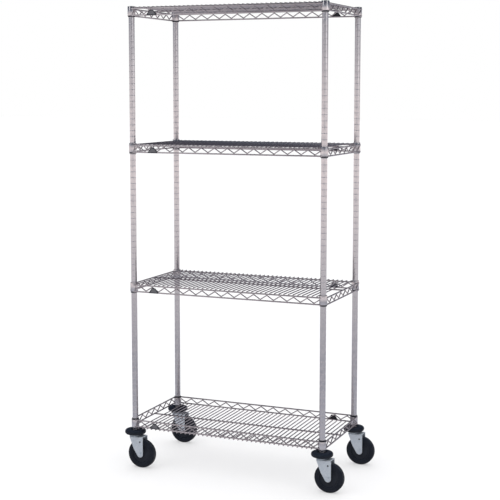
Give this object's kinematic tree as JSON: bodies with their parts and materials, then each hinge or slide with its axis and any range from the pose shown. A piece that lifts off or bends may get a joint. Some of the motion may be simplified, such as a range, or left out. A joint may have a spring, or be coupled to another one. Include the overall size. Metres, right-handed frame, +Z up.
{
  "type": "wire shelving rack",
  "caption": "Tall open rack of chromed wire shelves on round grooved posts, with swivel stem casters and donut bumpers; the lowest shelf is inverted as a tray.",
  "frame": {"origin": "on the floor, in the middle of the outer box of the rack and its casters", "axes": "+Z up, +X along the shelves towards the ends that the wheels trail to, +Y from the front to the rear"},
  "size_m": [1.021, 0.518, 2.024],
  "materials": {
    "chrome_steel": "bright chrome-plated steel wire and tube",
    "zinc_steel": "satin zinc-plated pressed steel",
    "black_plastic": "moulded black plastic",
    "wheel_core": "moulded black wheel core",
    "bumper_rubber": "smooth black rubber",
    "tyre_rubber": "smooth black tread"
  },
  "bodies": {
    "rack": {"post_front_left": "chrome_steel", "post_cap_front_left": "black_plastic", "post_front_right": "chrome_steel", "post_cap_front_right": "black_plastic", "post_rear_left": "chrome_steel", "post_cap_rear_left": "black_plastic", "post_rear_right": "chrome_steel", "post_cap_rear_right": "black_plastic", "shelf_1_frame": "chrome_steel", "shelf_1_mat": "chrome_steel", "shelf_1_badge": "black_plastic", "shelf_1_sleeve_front_left": "black_plastic", "shelf_1_sleeve_front_right": "black_plastic", "shelf_1_sleeve_rear_left": "black_plastic", "shelf_1_sleeve_rear_right": "black_plastic", "shelf_2_frame": "chrome_steel", "shelf_2_mat": "chrome_steel", "shelf_2_badge": "black_plastic", "shelf_2_sleeve_front_left": "black_plastic", "shelf_2_sleeve_front_right": "black_plastic", "shelf_2_sleeve_rear_left": "black_plastic", "shelf_2_sleeve_rear_right": "black_plastic", "shelf_3_frame": "chrome_steel", "shelf_3_mat": "chrome_steel", "shelf_3_badge": "black_plastic", "shelf_3_sleeve_front_left": "black_plastic", "shelf_3_sleeve_front_right": "black_plastic", "shelf_3_sleeve_rear_left": "black_plastic", "shelf_3_sleeve_rear_right": "black_plastic", "shelf_4_frame": "chrome_steel", "shelf_4_mat": "chrome_steel", "shelf_4_badge": "black_plastic", "shelf_4_sleeve_front_left": "black_plastic", "shelf_4_sleeve_front_right": "black_plastic", "shelf_4_sleeve_rear_left": "black_plastic", "shelf_4_sleeve_rear_right": "black_plastic", "caster_front_left_bumper": "bumper_rubber", "caster_front_left_stem": "zinc_steel", "caster_front_right_bumper": "bumper_rubber", "caster_front_right_stem": "zinc_steel", "caster_rear_left_bumper": "bumper_rubber", "caster_rear_left_stem": "zinc_steel", "caster_rear_right_bumper": "bumper_rubber", "caster_rear_right_stem": "zinc_steel"},
    "caster_front_left_fork": {"caster_front_left_fork": "zinc_steel", "caster_front_left_axle": "zinc_steel"},
    "caster_front_left_wheel": {"caster_front_left_hub": "wheel_core", "caster_front_left_tyre": "tyre_rubber"},
    "caster_front_right_fork": {"caster_front_right_fork": "zinc_steel", "caster_front_right_axle": "zinc_steel"},
    "caster_front_right_wheel": {"caster_front_right_hub": "wheel_core", "caster_front_right_tyre": "tyre_rubber"},
    "caster_rear_left_fork": {"caster_rear_left_fork": "zinc_steel", "caster_rear_left_axle": "zinc_steel"},
    "caster_rear_left_wheel": {"caster_rear_left_hub": "wheel_core", "caster_rear_left_tyre": "tyre_rubber"},
    "caster_rear_right_fork": {"caster_rear_right_fork": "zinc_steel", "caster_rear_right_axle": "zinc_steel"},
    "caster_rear_right_wheel": {"caster_rear_right_hub": "wheel_core", "caster_rear_right_tyre": "tyre_rubber"}
  },
  "joints": [
    {"name": "swivel_front_left", "type": "hinge", "parent": "rack", "child": "caster_front_left_fork", "pos_m": [-0.464, -0.2125, 0.145], "axis": [0, 0, 1], "continuous": true},
    {"name": "spin_front_left", "type": "hinge", "parent": "caster_front_left_fork", "child": "caster_front_left_wheel", "pos_m": [-0.431, -0.2125, 0.0635], "axis": [0, 1, 0], "continuous": true},
    {"name": "swivel_front_right", "type": "hinge", "parent": "rack", "child": "caster_front_right_fork", "pos_m": [0.414, -0.2125, 0.145], "axis": [0, 0, 1], "continuous": true},
    {"name": "spin_front_right", "type": "hinge", "parent": "caster_front_right_fork", "child": "caster_front_right_wheel", "pos_m": [0.447, -0.2125, 0.0635], "axis": [0, 1, 0], "continuous": true},
    {"name": "swivel_rear_left", "type": "hinge", "parent": "rack", "child": "caster_rear_left_fork", "pos_m": [-0.464, 0.2125, 0.145], "axis": [0, 0, 1], "continuous": true},
    {"name": "spin_rear_left", "type": "hinge", "parent": "caster_rear_left_fork", "child": "caster_rear_left_wheel", "pos_m": [-0.431, 0.2125, 0.0635], "axis": [0, 1, 0], "continuous": true},
    {"name": "swivel_rear_right", "type": "hinge", "parent": "rack", "child": "caster_rear_right_fork", "pos_m": [0.414, 0.2125, 0.145], "axis": [0, 0, 1], "continuous": true},
    {"name": "spin_rear_right", "type": "hinge", "parent": "caster_rear_right_fork", "child": "caster_rear_right_wheel", "pos_m": [0.447, 0.2125, 0.0635], "axis": [0, 1, 0], "continuous": true}
  ]
}
